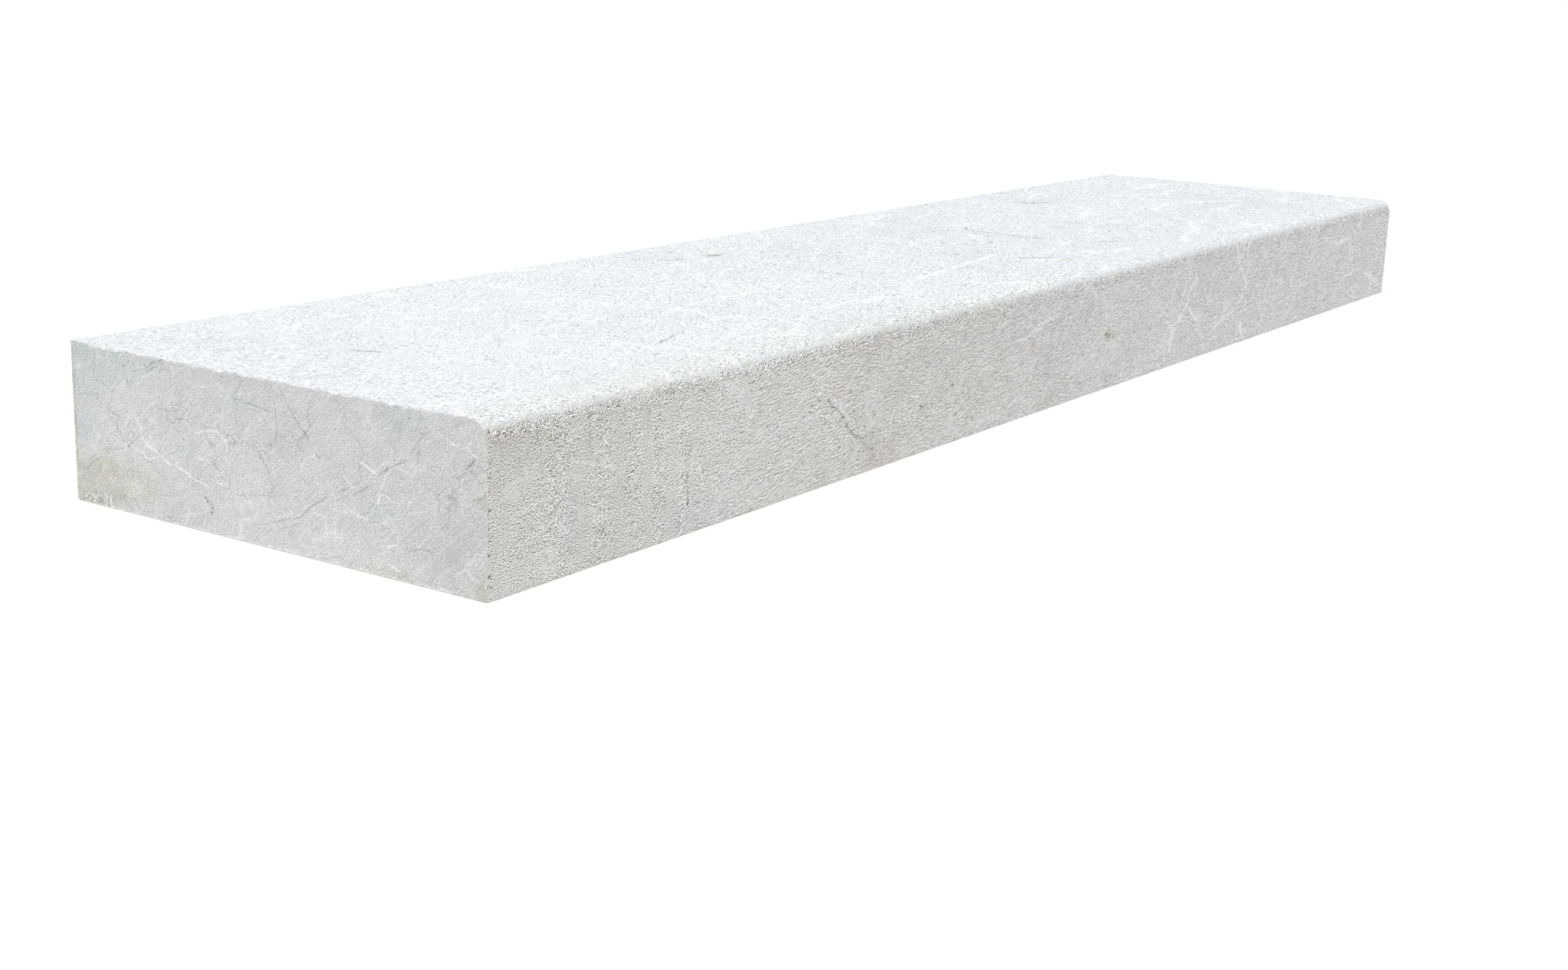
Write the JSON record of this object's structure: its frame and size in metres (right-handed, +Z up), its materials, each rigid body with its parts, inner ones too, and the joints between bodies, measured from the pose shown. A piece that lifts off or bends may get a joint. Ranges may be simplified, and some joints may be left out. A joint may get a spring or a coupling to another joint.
{
  "type": "stone step tread",
  "caption": "Solid stone block step with a rounded front nosing, a grit-blasted tread and riser, and plain sawn ends.",
  "frame": {"origin": "centre of the bottom face", "axes": "+X along the step, +Y from the riser to the back, +Z up from the bed to the tread"},
  "size_m": [2.2, 0.5, 0.15],
  "materials": {
    "stone": "matte: grit-blasted on the tread, nosing and riser, sawn smooth on the ends"
  },
  "bodies": {
    "root": {"step_tread": "stone"}
  },
  "joints": []
}
